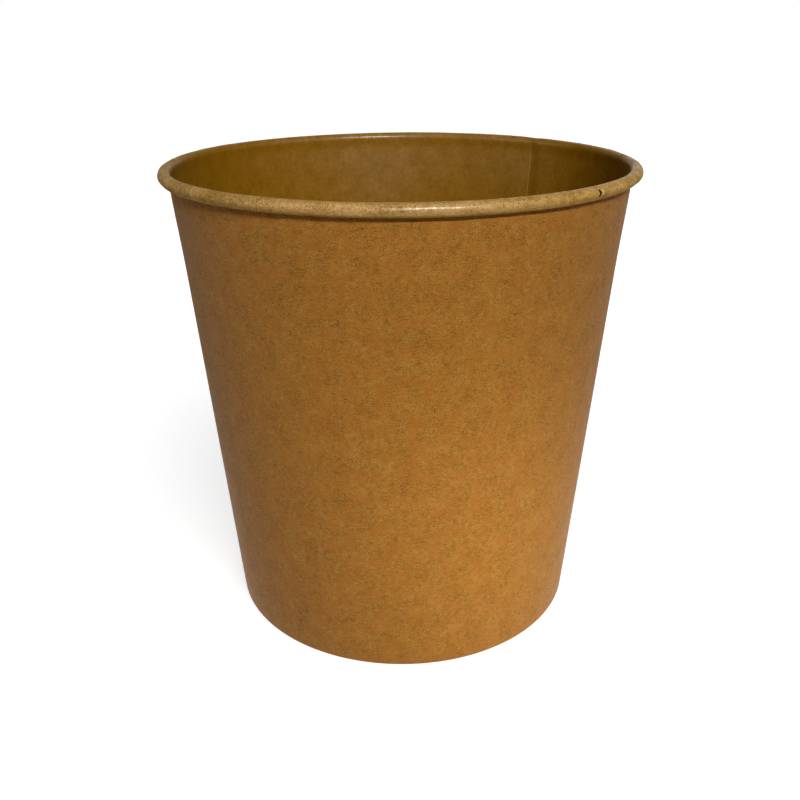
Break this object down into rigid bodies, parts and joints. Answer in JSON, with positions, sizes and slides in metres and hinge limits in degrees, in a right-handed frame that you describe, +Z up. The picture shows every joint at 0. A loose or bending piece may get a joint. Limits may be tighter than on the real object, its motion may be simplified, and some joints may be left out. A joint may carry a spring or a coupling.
{
  "type": "paper ice cream tub",
  "caption": "Round tapered tub of kraft paperboard with an open top, a rolled rim, a lapped side seam and a recessed base.",
  "frame": {"origin": "centre of the foot, on the plane the tub stands on", "axes": "+Z up along the tub's axis; the camera of the picture looks along +Y from the -Y side; the side seam is at the back right, 47 degrees from +X towards +Y"},
  "size_m": [0.117, 0.117, 0.1177],
  "materials": {
    "wall_board": "uncoated kraft board outside, thin clear coating inside and over the rim",
    "base_board": "kraft board, thin clear coating on the upper face"
  },
  "bodies": {
    "root": {"side_wall": "wall_board", "base_disc": "base_board"}
  },
  "joints": []
}
